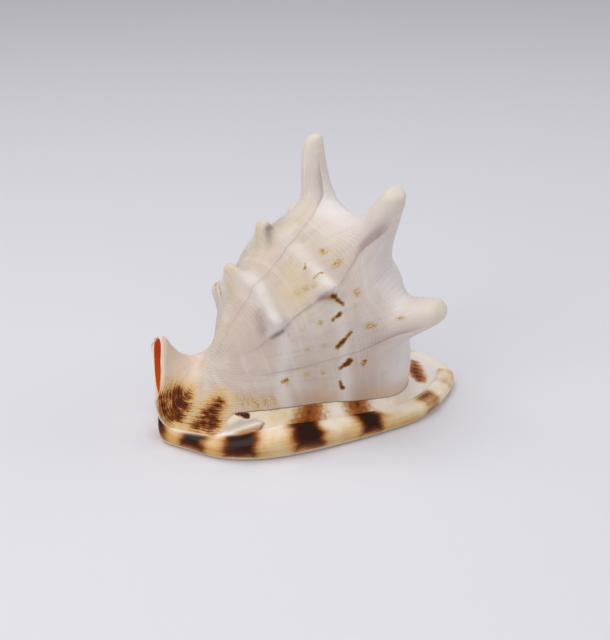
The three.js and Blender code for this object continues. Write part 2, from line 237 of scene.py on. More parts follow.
def draw_out(p):
    """The wall with its knobs and horns drawn out, and how far up a horn each point is."""
    moved = p.copy()
    for knob in KNOBS:
        v = p - knob["root"]
        along = v @ AXIS
        round_way = np.linalg.norm(v - AXIS * along[..., None], axis=-1)
        away = np.hypot(along / knob["radius"], round_way / knob["length"])
        moved += knob["axis"] * (knob["height"] / (1 + away ** KNOB_SHARPNESS))[..., None]
    up_horn = np.zeros(p.shape[:-1])
    for horn in HORNS:
        v = moved - horn["root"]
        away = np.maximum(np.linalg.norm(v, axis=-1), 1e-6)
        share = away / horn["spread"]
        along = v @ horn["axis"]
        side = v - horn["axis"] * along[..., None]
        widest = horn["spread"] / (HORN_RADIUS[-1][1] * horn["girth"])
        radius = through(HORN_RADIUS, share) * horn["girth"] * (1 + (widest - 1) * share)
        rise = through(HORN_HEIGHT, share)
        bent = np.array(horn["bow"]) * (4 * rise * (1 - rise))[..., None]
        drawn = (horn["root"] + horn["axis"] * (along + (horn["height"] - along) * rise)[..., None]
                 + side * (radius / away)[..., None] + bent)
        moved = np.where((share < 1)[..., None], drawn, moved)
        up_horn = np.maximum(up_horn, np.where(share < 1, rise, 0))
    return moved, up_horn


print("the horns stand out by", [round(float(horn["height"])) for horn in HORNS], "mm")

# %% [markdown]
# ## The margin
# The flange and its rolled rim follow stations round the shell, from the canal along the shield, round the
# spire and back along the lip. Each has the rim's foot on the table, how far the crest stands in from it and
# how high, the crease between flange and whorl, the height where the whorl's wall ends, and how many grid
# columns follow.

# %% Margin stations
MARGIN = (
    ((-90.5, 21), -0.6, 62.8, (-87.5, 20, 62.3), 43, 9),
    ((-93, 18.3), 0, 50, (-90.3, 17, 49.5), 43, 9),
    ((-94.5, 15.5), -2.5, 36, (-93.8, 13.6, 36), 44, 9),
    ((-97.2, 12), -4, 25.5, (-97.4, 11, 25.5), 46, 9),
    ((-97.6, 5.3), -2, 14, (-94, 6.2, 15.5), 48, 9),
    ((-90.5, -10), 2.5, 11, (-84, -8, 13.5), 51, 14),
    ((-80, -29), 6, 11.5, (-73.5, -22.5, 14.5), 51, 17),
    ((-62, -43), 9, 14, (-58, -30, 18.5), 48, 20),
    ((-38, -51), 9, 15.5, (-39.5, -34.8, 24), 42, 22),
    ((-10, -55), 8, 14, (-14.5, -38.5, 23), 36, 24),
    ((20, -57), 7, 12, (10, -45.5, 20.5), 30, 24),
    ((48, -56), 7, 11, (36, -45, 15.7), 25, 24),
    ((76, -44), 7, 10.5, (54, -35.5, 13.5), 22, 20),
    ((96, -27.5), 7, 10, (66, -21, 13), 21, 16),
    ((100, -9), 6, 10, (71, -5, 15), 22, 13),
    ((92.5, 15.5), 6, 11, (68, 15, 19), 26, 14),
    ((78, 48), 6, 13, (60, 34, 22), 30, 15),
    ((48, 70), 6, 15, (40, 54, 23), 31, 15),
    ((10, 79), 6, 15, (8, 62, 23), 32, 15),
    ((-26, 77), 6, 14, (-22, 61, 22), 36, 14),
    ((-54, 66), 6, 13, (-46, 52, 20), 42, 12),
    ((-73, 50), 4, 13, (-67, 43, 17), 48, 9),
    ((-84, 38), 1, 22, (-81.5, 35.5, 22), 47, 6),
    ((-89.5, 32), 0, 38, (-86.8, 31, 37.5), 45, 8),
    ((-91.5, 28.7), -2, 55.5, (-88.5, 28.5, 55), 43, 8),
    ((-90.5, 26), -2.2, 61.4, (-87.5, 25.6, 60.9), 43, 8),
)
column_u = np.concatenate([(i + np.arange(s[5]) / s[5]) / len(MARGIN) for i, s in enumerate(MARGIN)])
columns = len(column_u)

foot, foot_way = around([s[0] for s in MARGIN], column_u)
crease, _ = around([s[3] for s in MARGIN], column_u)
sizes, _ = around([(s[1], s[2], s[4]) for s in MARGIN], column_u)
inset, crest, wall_end = sizes.T
outward = unit(np.stack([foot_way[:, 1], -foot_way[:, 0]], 1))


def beside(out, height):
    """Points out from the foot of the rim, at a height."""
    flat = foot + outward * np.asarray(out)[:, None]
    return np.column_stack([flat, np.broadcast_to(height, columns)])


print(columns, "columns round the margin")

# %% [markdown]
# ## One grid for the whole shell
# Every column starts at the crown, runs down the whorl's wall, bridges over to the crease, crosses the
# flange, goes round the rim and on under the shell to the navel. The rings are kept in zones, so the later
# steps can tell wall, flange, rim and underside apart.

# %% The grid
CROWN = np.array((-24, -2, 140))
NAVEL = np.array((5, 8, 6))
PROW_CREST = (16, 50)  # crests from the first height to the second turn into the canal
PROW_FLARE = 1.2
APRON_WALL = (30, 42)  # walls ending between these heights pass smoothly into the flange
APRON_EASE = 0.8
TROUGH_DIP = ((0, 0), (0.2, 0.9), (0.55, 1.5), (0.85, 1.5), (0.95, 0.8), (1, 0))
RIM_BULGE = 3
PROW_THINNING = 0.8  # the rim's bulge shrinks by this share at the canal
RIM_OUT = ((0, 0), (0.22, 0), (0.48, 0.8), (0.74, 1), (0.9, 0.55), (1, 0))
RIM_IN = ((0, 1), (0.22, 0.4), (0.42, 0), (1, 0))
RIM_UP = ((0, 1), (0.22, 0.965), (0.48, 0.74), (0.74, 0.42), (0.9, 0.12), (1, 0))
REST_WIDTH = 7
UNDER_SPACING, UNDER_ARCH = 1.5, 0.75  # powers that space the underside's rings and shape its hollow
RINGS = dict(whorl=140, apron=24, trough=20, rim=28, rest=3, under=34)


def shares(name):
    """How far through a zone each of its rings lies."""
    return np.arange(1, RINGS[name] + 1) / RINGS[name]


prow = smoothstep(*PROW_CREST, crest)
start = unit(CROWN - HEART)
target = unit(np.column_stack([crease[:, :2], wall_end]) - HEART)
turn = np.arccos(target @ start)[:, None]
hinge = unit(np.cross(start, target))
share = shares("whorl")
swing = (turn * share)[..., None]
way = start * np.cos(swing) + np.cross(hinge, start)[:, None, :] * np.sin(swing)
plain = whorl_hit(drawn_in(way))
wall, up_horn = draw_out(plain)
crown_plain = whorl_hit(drawn_in(start[None]))
crown, _ = draw_out(crown_plain)

last, before = wall[:, -1], wall[:, -2]
chord = crease - last
length = np.linalg.norm(chord, axis=1, keepdims=True)
ease = (APRON_EASE * smoothstep(*APRON_WALL, wall_end))[:, None]
leave = unit(last - before) * length
leave += (chord - leave) * ease
arrive = chord + np.array((0, 0, PROW_FLARE)) * length * prow[:, None]
share = shares("apron")
apron = np.stack([bridge(last, leave, crease, arrive, t) for t in share], 1)

crest_point = beside(-inset, crest)
share = shares("trough")
trough = crease[:, None] + (crest_point - crease)[:, None] * share[:, None]
trough[..., 2] -= through(TROUGH_DIP, share) * (1 - prow)[:, None]

bulge = RIM_BULGE * (1 - PROW_THINNING * prow)
share = shares("rim")
rim = np.stack([beside(bulge * through(RIM_OUT, t) - inset * through(RIM_IN, t), crest * through(RIM_UP, t))
                for t in share], 1)

share = shares("rest")
rest = np.stack([beside(np.full(columns, -REST_WIDTH * t), 0) for t in share], 1)
inner = rest[:, -1]
share = np.arange(1, RINGS["under"] + 1) / (RINGS["under"] + 1)
under = inner[:, None] + (NAVEL - inner)[:, None] * (share ** UNDER_SPACING)[:, None]
under[..., 2] = NAVEL[2] * share ** UNDER_ARCH

zones = [np.repeat(crown[None], columns, 0), wall, apron, trough, rim, rest, under,
         np.broadcast_to(NAVEL, (columns, 1, 3))]
points = np.concatenate(zones, 1)
rings = points.shape[1]
zone_ends = np.cumsum([0] + list(RINGS.values()))
zone = np.interp(np.arange(rings), np.append(zone_ends, rings - 1), np.arange(len(zone_ends) + 1))
print(rings, "rings, box of the points", points.min((0, 1)).round(1), points.max((0, 1)).round(1))

# %% [markdown]
# ## Softening the neck
# Where the wall ends and the apron begins the grid still has a fold. Letting each point drift towards its
# neighbours, most of all near that ring, turns the fold into the smooth saddle behind the canal.

# %% Soft neck
NECK_MIDDLE = 0.14  # place in the row of columns, as a share of all of them
NECK_SPAN = (0.24, 0.144)  # no softening past the first share on each side, full softening within the second
NECK_BEFORE, NECK_AFTER = (-60, -24), (22, 6.6)  # rings from the end of the wall, from none to full
NECK_DRIFT, NECK_PASSES = 0.5, 500

ring_off = np.arange(rings) - RINGS["whorl"]
hold = smoothstep(*NECK_BEFORE, ring_off) * smoothstep(*NECK_AFTER, ring_off)
column_off = (column_u - NECK_MIDDLE + 0.5) % 1 - 0.5
reach = smoothstep(*NECK_SPAN, np.abs(column_off))
drift = NECK_DRIFT * reach[:, None, None] * hold[None, :, None]
for _ in range(NECK_PASSES):
    near = np.roll(points, 1, 0) + np.roll(points, -1, 0)
    near[:, 1:-1] += points[:, 2:] + points[:, :-2]
    near[:, [0, -1]] = 4 * points[:, [0, -1]]
    points = points + drift * (near / 4 - points)

SADDLE = np.array((-72, 17, 48))
SADDLE_SAG, SADDLE_REACH = 4, 14
above = np.arange(rings) < RINGS["whorl"] + RINGS["apron"]
away = np.linalg.norm(points - SADDLE, axis=-1) / SADDLE_REACH
points[..., 2] -= SADDLE_SAG * np.exp(-away ** 2) * above
print("neck softened in", NECK_PASSES, "passes")

# %% [markdown]
# ## Places on the shell
# Relief and markings need to know where they are. Each point gets its place along the axis and round it, as
# it was before the horns were drawn out, so that growth lines climb them, its run along the rim, and its band
# across the flange. Small helpers measure distances from these.

# %% Places on the shell
THREAD_RADIUS = 46  # growth lines are evenly spaced at this distance from the axis
CREASE_ZONE = 2
TURN_REACH = (20, 70)  # an angle is turned into mm with the radius kept between these

station = column_u * len(MARGIN)
foot_step = np.linalg.norm(np.roll(foot, -1, 0) - foot, axis=1)
rim_run = np.concatenate([[0], np.cumsum(foot_step)[:-1]])[:, None]
rim_length = foot_step.sum()
stations = np.arange(len(MARGIN) + 1)
station_run = np.interp(stations, np.append(station, len(MARGIN)), np.append(rim_run, rim_length))
grown = points.copy()
grown[:, 0] -= crown - crown_plain
grown[:, 1:RINGS["whorl"] + 1] -= wall - plain
along, angle, axis_away = coil_place(grown)
arc = np.radians(angle) * THREAD_RADIUS
turn_mm = np.radians(1) * np.clip(axis_away, *TURN_REACH)
band = np.broadcast_to(zone - CREASE_ZONE, along.shape)  # 0 at the crease, 1 at the crest, 2 at the foot
run_down = np.cumsum(np.linalg.norm(np.diff(points, axis=1, prepend=points[:, :1]), axis=-1), axis=1)
crest_ring = RINGS["whorl"] + RINGS["apron"] + RINGS["trough"]
inland = run_down[:, crest_ring:crest_ring + 1] - run_down  # distance from the crest, up the flange


def capsule(ends, radius):
    """Distance in mm inside a stroke between two places given along the axis and round it."""
    (a0, t0), (a1, t1) = ends
    da, dt = along - a0, (angle - t0) * turn_mm
    la, lt = a1 - a0, (t1 - t0) * turn_mm
    share = np.clip((da * la + dt * lt) / (la * la + lt * lt + 1e-9), 0, 1)
    return radius - np.hypot(da - share * la, dt - share * lt)


def blob(centre, radius):
    return radius - np.linalg.norm(points - np.array(centre), axis=-1)


def stretch_of_rim(first, last):
    """Distance in mm inside a stretch of the margin, between one pair of stations or one for each ring."""
    start, end = (np.interp(place, stations, station_run) for place in (first, last))
    return np.minimum(rim_run - start, end - rim_run)


def normals():
    round_way = np.roll(points, -1, 0) - np.roll(points, 1, 0)
    down_way = np.gradient(points, axis=1)
    return unit(np.cross(down_way, round_way))


print("the rim is", rim_length.round(), "mm long")

# %% [markdown]
# ## Growth pauses and the spire
# Where growth paused, the wall has a low step, and on a horn the step becomes a fold. The spire is the small
# cone of older whorls at the end, with a spiral suture and a row of knobs. Steps and folds are pushed out or
# in at right angles to the surface, which keeps them true on any slope, and the spire's relief along the axis.

# %% Growth pauses and spire
PAUSES = (
    ((-94, -16), (-65, -9.2), (-52, -8.4), (-41, -8.9), (-30, -11.2), (-21, -11.5), (-12.6, -4.1), (-9, -1)),
    ((-95, 24), (-87, 30), (-82, 31.5), (-68, 36.8), (-54, 38.2), (-43, 39.5), (-35, 43.5), (-27.8, 47),
     (-23, 45), (-18.6, 43), (-15.4, 42.2), (-12.4, 42.5), (-9.3, 47.4), (-7, 49.5), (-3, 53)),
    ((-99, 80), (-89, 76.5), (-79, 74.5), (-66, 76.8), (-54, 78), (-45.6, 80), (-37, 83), (-27.6, 86.4),
     (-22, 88.1), (-16.7, 88.5), (-12.5, 89.5), (-9.5, 92), (-8, 97), (-5, 104)),
    ((-100, 132), (-50, 140), (-10, 150)),
    ((-100, 190), (-50, 196), (-10, 205)),
)
PAUSE_STEP, PAUSE_FRONT, PAUSE_FADE = 0.6, 1.2, 9  # mm: its height, and how far it fades in front and behind
FOLD_DEPTH, FOLD_WIDTH = 0.8, 2
FOLD_FRONT, FOLD_TINT = 0.6, 4  # a fold is tinted on one side
FOLD_RISE, FOLD_END = (0.04, 0.3), (0.85, 0.4)  # shares of a horn's height over which folds begin and end
PAUSE_ENDS = (-104, -90)  # towards the neck the steps fade out
WHORL_EDGE = (1.55, 0.95)  # zones over which the whorl's relief fades into the apron
FAR = 99  # mm, further than any distance that is needed
SPIRE_RADIUS, SPIRE_RATE = 50, 1.75
SPIRE_FROM, SPIRE_EDGE, SPIRE_TOP = (-6, 2), (50, 40), (2, 12)  # mm along the axis, then twice mm from it
SUTURE_DEPTH, SUTURE_WIDTH = 3, 0.09
SPIRE_KNOBS, SPIRE_KNOB_HEIGHT = 13, 1.6
SPIRE_KNOB_PLACE, SPIRE_KNOB_WIDTH = 0.45, 0.16  # in shares of a whorl

whorl_mask = smoothstep(*WHORL_EDGE, zone)
pause_gap = np.full(along.shape, float(FAR))
push, fold, folded = (np.zeros(along.shape) for _ in range(3))
for index, pause in enumerate(PAUSES):
    past = (angle - through(pause, along)) * turn_mm
    side = past * (-1) ** index  # neighbours face each other, so that no false line lies between them
    pause_gap = np.where(np.abs(side) < np.abs(pause_gap), side, pause_gap)
    push += PAUSE_STEP * np.where(past > 0, np.exp(-past / PAUSE_FADE), np.exp(-(past / PAUSE_FRONT) ** 2))
    fold = np.maximum(fold, np.exp(-((past - FOLD_WIDTH / 2) / FOLD_WIDTH) ** 2))
    tint = np.where(past > 0, np.exp(-past / FOLD_TINT), np.exp(-(past / FOLD_FRONT) ** 2))
    folded = np.maximum(folded, tint)
tip = np.zeros(along.shape)
tip[:, 1:RINGS["whorl"] + 1] = up_horn
on_horn = smoothstep(*FOLD_RISE, tip)
push = push * (1 - on_horn) - FOLD_DEPTH * fold * on_horn * smoothstep(*FOLD_END, tip)
push *= whorl_mask * smoothstep(*PAUSE_ENDS, along)
points = points + normals() * push[..., None]

winding = np.log(np.maximum(axis_away, 1) / SPIRE_RADIUS) / np.log(SPIRE_RATE) - angle / 360
within = winding % 1
spire_mask = smoothstep(*SPIRE_FROM, along) * smoothstep(*SPIRE_EDGE, axis_away) * whorl_mask
suture = np.exp(-(np.minimum(within, 1 - within) / SUTURE_WIDTH) ** 2)
spire_knobs = np.exp(-((within - SPIRE_KNOB_PLACE) / SPIRE_KNOB_WIDTH) ** 2)
spire_knobs *= 0.5 + 0.5 * np.cos(np.radians(angle) * SPIRE_KNOBS)
lift = (SPIRE_KNOB_HEIGHT * spire_knobs - SUTURE_DEPTH * suture) * spire_mask
lift *= smoothstep(*SPIRE_TOP, axis_away)
points = points + AXIS * lift[..., None]
print("spire lifted by up to", lift.max().round(2), "mm, sutures cut to", lift.min().round(2), "mm")

# %% [markdown]
# ## Lumps, tongue and chip
# The rolled rim isn't even: it swells a little here and there. Near the canal a tongue of enamel has run out
# over the flange, and above it a chip has broken out of the enamel's edge. Each is a height by distance, so
# that its border can be as steep as it is on the shell.

# %% Rim lumps and enamel tongue
LUMPS = ((5.1, 0.5), (6.5, 0.8), (7.5, 1.2), (8.2, 0.6), (9.7, 0.6), (11.4, 0.5), (14.6, 0.6), (17.5, 0.7),
         (20, 0.6))
LUMP_REACH = 16
LUMP_INSIDE, LUMP_FOOT = (0.7, 1.2), (1.9, 1.5)  # bands over which lumps rise and end again
# By station, the zone of the tongue's middle and half its width in zones.
TONGUE = ((5.74, 3.12), (5.9, 2.59), (6.17, 2.52), (6.5, 2.49), (6.88, 2.46), (7.18, 2.3), (7.33, 2.27))
TONGUE_HALF = ((5.74, 0.03), (5.9, 0.54), (6.17, 0.575), (6.5, 0.59), (6.88, 0.53), (7.18, 0.3), (7.33, 0.02))
TONGUE_HEIGHT, TONGUE_BANDS, NO_TONGUE = 1.8, 1.4, -9
CHIPS = (((-60.2, -27.3, 22.2), 2.2), ((-61.6, -26.6, 22.4), 2), ((-63, -25.8, 22.8), 1.6),
         ((-64.4, -24.8, 23.2), 1.3), ((-65.8, -23.8, 23.6), 0.9))
CHIP_DEPTH = 1.3
BROKEN_EDGE = (-0.3, 1)  # mm over which tongue and chip reach their full height

rim_mask = smoothstep(*LUMP_INSIDE, band) * smoothstep(*LUMP_FOOT, band)
lump = np.zeros(along.shape)
for place, height in LUMPS:
    gap = rim_run - np.interp(place, stations, station_run)
    lump = lump + height * np.exp(-(gap / LUMP_REACH) ** 2) * rim_mask

flange_mm = np.linalg.norm(crest_point - crease, axis=1)[:, None]
tongue_middle = through(TONGUE, station)[:, None] - CREASE_ZONE
tongue_half = through(TONGUE_HALF, station)[:, None]
tongue = (tongue_half - np.abs(band - tongue_middle)) * flange_mm
tongue = np.minimum(tongue, stretch_of_rim(TONGUE[0][0], TONGUE[-1][0]))
tongue = np.where(np.abs(band) < TONGUE_BANDS, tongue, NO_TONGUE)
chip = np.max([blob(centre, radius) for centre, radius in CHIPS], 0)
raised = lump + TONGUE_HEIGHT * smoothstep(*BROKEN_EDGE, tongue) - CHIP_DEPTH * smoothstep(*BROKEN_EDGE, chip)
points = points + normals() * raised[..., None]
print("tongue covers", int((tongue > 0).sum()), "points")

# %% [markdown]
# ## Markings as numbers
# Each marking is worked out here as a distance to its edge, or as a strength, for every point of the grid.
# The material later cuts the distances off with a little noise, which gives sharp and uneven edges even
# where the mesh is coarser than the marking.

# %% Markings of the body
FLECKS = (
    (((-51, 36), (-47.7, 33)), 1.45), (((-47.7, 33), (-44.5, 28.4)), 1.35),
    (((-52.5, 21.6), (-47.8, 23.7)), 1.45), (((-54.5, 0.5), (-50, 4.5)), 1.9),
    (((-50, 4.5), (-45.7, 8.2)), 1.5), (((-54.6, -18.9), (-51.3, -16.6)), 1.3),
    (((-51.3, -16.8), (-49.3, -15)), 2.5), (((-42.3, -19.8), (-41, -18.5)), 0.95),
    (((-40.9, -21.4), (-39.6, -19.2)), 0.95), (((-56, -31), (-55.5, -35.7)), 1.05),
    (((-55.5, -35.7), (-54.4, -37)), 1.35), (((-87.2, -26.5), (-84, -24)), 0.8),
    (((-53.6, 59.3), (-52, 61.4)), 0.4), (((-52, 61.4), (-49.3, 61.3)), 0.45),
    (((-49.3, 61.3), (-47.5, 59.3)), 0.3), (((-52.7, 50.5), (-50.9, 51.1)), 0.35),
    (((-50.9, 51.1), (-48.7, 50.9)), 0.45), (((-48.7, 50.9), (-46.6, 49.7)), 0.4),
)
GOLD = (
    (-38.7, 62, 3, 1), (-37.4, 51.3, 2.8, 1), (-57.2, 69.5, 2.4, 0.5), (-64.6, 67.6, 2.4, 0.5),
    (-63.9, 50, 3.4, 0.6), (-58.9, 49.1, 3, 0.8), (-54.6, 47.4, 2.2, 0.6), (-43.6, 75, 2.2, 0.5),
    (-34, 30.4, 2.9, 1), (-37.8, 23.9, 2.2, 0.6), (-23.7, 24.2, 2.2, 0.5), (-60.1, 23.5, 2.1, 1),
    (-69.9, 24, 2, 0.6), (-35.9, 7.5, 3.1, 1), (-24.6, 4.5, 2.5, 1), (-61.4, 5.1, 2.1, 0.8),
    (-70.9, 5.6, 2, 0.7), (-73.4, -20.6, 2, 0.8), (-64.8, -20.9, 2, 0.8), (-80, -14, 1.8, 0.5),
    (-77.5, 25, 1.8, 0.6), (-77, 19, 1.6, 0.5), (-85.5, -25.9, 2.6, 0.9), (-40.3, -20.5, 2.4, 0.7),
    (-46, 8.5, 2, 0.8), (-106, -41, 3, 0.9), (-110, -40, 2.4, 0.8), (-101, -39, 3, 0.8),
    (-96, -38, 2.4, 0.7), (-113, -42, 2.2, 0.7), (-84, 136, 3, 1), (-87, 126, 2.5, 0.8),
    (-33, 120, 2.5, 0.8), (-52, 130, 2.2, 0.8), (-30, 165, 2.6, 0.8), (-55, 175, 2, 0.8),
    (-40, 190, 2.4, 0.8),
)
YELLOW = (
    (-82.5, 96, 5, 1.2), (-85, 100, 6, 0.8), (-56, 98, 5, 0.7), (-60, 57, 9, 0.9), (-59, 48, 7, 0.9),
    (-60, 66, 6, 0.7), (-67, 52, 8, 0.8), (-66, 43, 6, 0.7), (-40, 58, 8, 0.4), (-57, 88, 6, 0.9),
    (-63, 101, 7, 0.9), (-37, 96, 6, 1), (-28, 93, 6, 0.9), (-46, 97, 5, 0.8), (-57, 98, 5, 0.6),
    (-85, 99, 5, 0.6), (-100, 120, 9, 0.7), (-45, 130, 12, 0.6), (-50, 170, 14, 0.6),
)
# Painted shade: purple-grey strokes under the knobs and beside horn B, each with its ends, radius and
# strength.
SHADE_STROKES = (
    (((-85, 30), (-81, 31)), 1.5, 1), (((-54, 38), (-50, 35)), 2.2, 0.8),
    (((-56, 91), (-54, 91)), 2.4, 0.9), (((-17, 44), (-26, 48.5)), 3, 0.4),
    (((-88, 40), (-86, 56)), 2.5, 0.4),
)
RAYS = (
    ((-45, -54.5), (-13, -51.5), (12, -49.5), (37, -48)),
    ((-36, -89.5), (0, -83), (25, -80), (37, -81.5)),
)
RAY_WIDTH, RAY_TOP, RAY_FOOT = 4, (45, 32), (-80, -60)
SPOT_LENGTH = 0.1  # mm, a spot is a very short stroke
WHITE_SWELL = 4  # mm of swelling at which a ridge is rubbed white
WHITE_KNOBS, WHITE_REACH = 5, 1.5  # knobs rubbed white, and how far round them in knob radii


def fading_spot(a, t, radius, strength):
    """Strength that fades away from a place on the wall."""
    return strength * np.exp(-(capsule(((a, t), (a + SPOT_LENGTH, t)), 0) / radius) ** 2)


fleck = np.max([capsule(ends, radius) for ends, radius in FLECKS], 0)
gold = np.max([fading_spot(*spot) for spot in GOLD], 0)
yellow = sum(fading_spot(*spot) for spot in YELLOW)
painted_shade = np.zeros(along.shape)
for ends, radius, strength in SHADE_STROKES:
    painted_shade += strength * np.exp(-((np.maximum(radius - capsule(ends, radius), 0) / radius) ** 2))
ray = sum(np.exp(-((along - through(line, angle)) / RAY_WIDTH) ** 2) for line in RAYS)
ray *= smoothstep(*RAY_TOP, angle) * smoothstep(*RAY_FOOT, angle)
ridge_white = np.clip(ridge_swell(along, angle) / WHITE_SWELL, 0, 1) * whorl_mask
for knob in KNOBS[:WHITE_KNOBS]:
    gap = np.linalg.norm(points - knob["root"], axis=-1) / (WHITE_REACH * knob["radius"])
    ridge_white = np.maximum(ridge_white, np.exp(-gap ** 2) * whorl_mask)
print(int((fleck > 0).sum()), "points lie in brown flecks")

# %% [markdown]
# ## Bars, patches and blotches
# The rim has dark brown bars, the flange has paler patches, and brown blotches flank the canal. Bars and
# patches are placed by stations along the margin, so that they keep their places when the outline changes.
# Stains and blotches have no straight sides, so each is a group of balls that run together.

# %% Markings of the flange and the rim
# A bar has its first and last station and how deep it may get, a patch has its two stations at the crease
# and its two at the crest.
FULL = 20  # a bar this deep is never cut short
BARS = (
    (4.72, 5.5, FULL), (6.12, 6.92, FULL), (7.88, 8.5, FULL), (9.46, 9.88, FULL), (11.27, 11.55, -1.8),
    (12.5, 12.9, -4.2), (14.95, 15.35, FULL), (15.7, 16.15, FULL), (17.1, 17.4, FULL),
    (18.4, 18.95, FULL), (19.9, 20.2, FULL), (21, 21.5, FULL), (2.2, 3.9, FULL),
)
PATCHES = (
    (8.5, 8.96, 7.9, 8.66), (9.63, 10.16, 9.42, 9.76), (15.2, 15.5, 15.2, 15.6), (16.7, 17.2, 16.8, 17.1),
    (18.2, 18.5, 18, 18.6), (19.7, 20.2, 19.8, 20.1),
)
STAINS = (
    ((83.2, -6, 11.4), 2.8), ((80.3, -11, 11.2), 4), ((77, -15.5, 11), 4.9), ((74.4, -19.4, 11), 5),
    ((72.4, -24.2, 10.6), 4.2), ((70.6, -28.5, 10.3), 2.8),
)
STAIN_STRENGTH = 2.6
BLOTCHES = (
    ((-96.8, 12.5, 28), 2), ((-96.6, 10.2, 24), 2.5), ((-95.6, 8.2, 20), 2.8), ((-94, 6, 16), 2.6),
    ((-91.3, 9.8, 28.5), 3.2), ((-87, 8.6, 30), 3.6), ((-83.4, 5, 29.3), 2.4), ((-88.5, 6, 25), 4.8),
    ((-86.6, 2.4, 23.8), 3.2), ((-91.3, 7, 21.5), 3.8), ((-90, 4, 17.5), 3.4),
    ((-71.5, -14.5, 29.6), 1.6), ((-73.2, -14.4, 27.4), 2.8), ((-76, -13.2, 24), 3.8),
    ((-79, -11.4, 21), 3.4), ((-77, -15, 19.5), 3.6), ((-81, -11, 16.3), 3.6), ((-84, -8, 13.8), 2.4),
    ((-78.5, -15.5, 15.5), 3.2),
)
ENAMEL_EDGE = ((0, 3), (5.5, 3), (5.7, 2.5), (5.85, 2.1), (6.05, 1.86), (6.2, 1.77), (6.8, 1.79), (7.2, 1.82),
               (7.9, 1.96), (8.4, 2.04), (10.2, 2.03), (11, 2), (21, 2), (22, 2.5), (23, 3), (26, 3))
ENAMEL_REACH = (-16, 9)  # mm on both sides of the enamel's edge that are told apart
# Each pair gives where a marking starts to show and where it is in full, in stations from the canal or zones.
CANAL_END, CANAL_TOP = (4.6, 3), (0.6, 1.2)
FAN_END, FAN_TOP = (8.8, 7), (0.75, 1.1)
SEAM_START, LIP_END = (6.05, 6.4), (6, 5.2)
LIP_WIDTH = 1.6

bar = np.max([np.minimum(stretch_of_rim(first, last), most) for first, last, most in BARS], 0)
bar = np.broadcast_to(bar, along.shape)
outward_share = np.clip(band[0], 0, 1)
patch = np.max([stretch_of_rim(a + (c - a) * outward_share, b + (d - b) * outward_share)
                for a, b, c, d in PATCHES], 0)
stain = np.max([blob(centre, radius) for centre, radius in STAINS], 0)
patch = np.maximum(patch, STAIN_STRENGTH * stain)
blotch = np.max([blob(centre, radius) for centre, radius in BLOTCHES], 0)
enamel_edge = np.interp(station, *np.array(ENAMEL_EDGE).T)[:, None]
edge_down = np.array([np.interp(place, zone, down) for place, down in zip(enamel_edge[:, 0], run_down)])
enamel = np.clip(run_down - edge_down[:, None], *ENAMEL_REACH)
from_canal = np.minimum(station, len(MARGIN) - station + 1)[:, None]
canal = smoothstep(*CANAL_END, from_canal) * smoothstep(*CANAL_TOP, zone)
fan = smoothstep(*FAN_END, from_canal) * smoothstep(*FAN_TOP, zone)
seam = np.broadcast_to(smoothstep(*SEAM_START, from_canal), along.shape)
lip = smoothstep(*LIP_END, from_canal) * np.exp(-(inland / LIP_WIDTH) ** 2)
print(int((bar > 0).sum()), "points lie in bars and", int((blotch > 0).sum()), "in blotches")

# %% [markdown]
# ## The opening
# The aperture is a long toothed slit in the underside that runs on up the canal's groove. Stations give the
# middle of the cut, its half width and half depth, and which way it faces. The lips beside it swell towards
# the table and are ribbed.

# %% Line of the opening
OPENING = (
    ((-98.5, 23.6, 61.6), 2.4, 8.5, 1),
    ((-100, 23.7, 56), 5, 12, 1),
    ((-101.5, 23, 43), 6.9, 16.5, 1),
    ((-102, 20.8, 22), 7.4, 19, 0.85),
    ((-88, 16, 0), 5, 15, 0.5),
    ((-62, 13, 2), 4.5, 16, 0),
    ((-30, 13, 4), 6, 20, 0),
    ((5, 16, 5), 7, 23, 0),
    ((38, 20, 4), 6.5, 20, 0),
    ((58, 23, 2), 5, 13, 0),
)
TEETH, TOOTH_DEPTH, TEETH_FROM = 11, 1.8, 0.5
CUT_RINGS, CUT_SIDES = 130, 28
MOUTH_FROM = 60  # ring of the cut from which it lies under the shell
LIP_SWELL, LIP_PLACE, LIP_REACH = 3.2, 3, 5
LIP_RIBS, RIB_SHARE = 26, 0.25
LIP_CLEARANCE = 0.4  # the lips stay this far above the table
UNDER_START = (4.1, 4.5)  # zones over which the underside begins

cut_u = np.linspace(0, 1, CUT_RINGS)
cut_rows = np.array([(*at, width, depth, facing) for at, width, depth, facing in OPENING])
cut_stations = np.linspace(0, 1, len(OPENING))
cut_x, cut_y, cut_z, cut_width, cut_depth, cut_facing = (
    through(np.column_stack([cut_stations, row]), cut_u) for row in cut_rows.T)
cut_middle = np.column_stack([cut_x, cut_y, cut_z])

gaps = np.linalg.norm(points[:, :, None, :2] - cut_middle[None, None, MOUTH_FROM:, :2], axis=-1)
nearest = MOUTH_FROM + gaps.argmin(-1)
mouth = gaps.min(-1) - cut_width[nearest]
under_mask = smoothstep(*UNDER_START, zone)
ribs = 1 - RIB_SHARE + RIB_SHARE * np.cos(2 * np.pi * LIP_RIBS * cut_u[nearest])
swell = LIP_SWELL * np.exp(-((mouth - LIP_PLACE) / LIP_REACH) ** 2) * under_mask * ribs
lowered = np.maximum(points[..., 2] - swell, LIP_CLEARANCE * under_mask)
points[..., 2] = np.where(under_mask > 0, lowered, points[..., 2])
print("lips swell by up to", swell.max().round(2), "mm")

# %% [markdown]
# ## From numbers to a mesh
# A ball from the mesh tools already has closed poles and an even net of columns and rings. Each of its points
# is found again by its latitude and longitude, and moved to its place on the shell.

# %% The ball becomes a shell
ORIGIN = np.array((2.0535, -2.515, 0))  # the frame's origin in the millimetres used above
MM = 0.001
BAND_MM = 12  # one band counts as this many mm in the grain of the rim


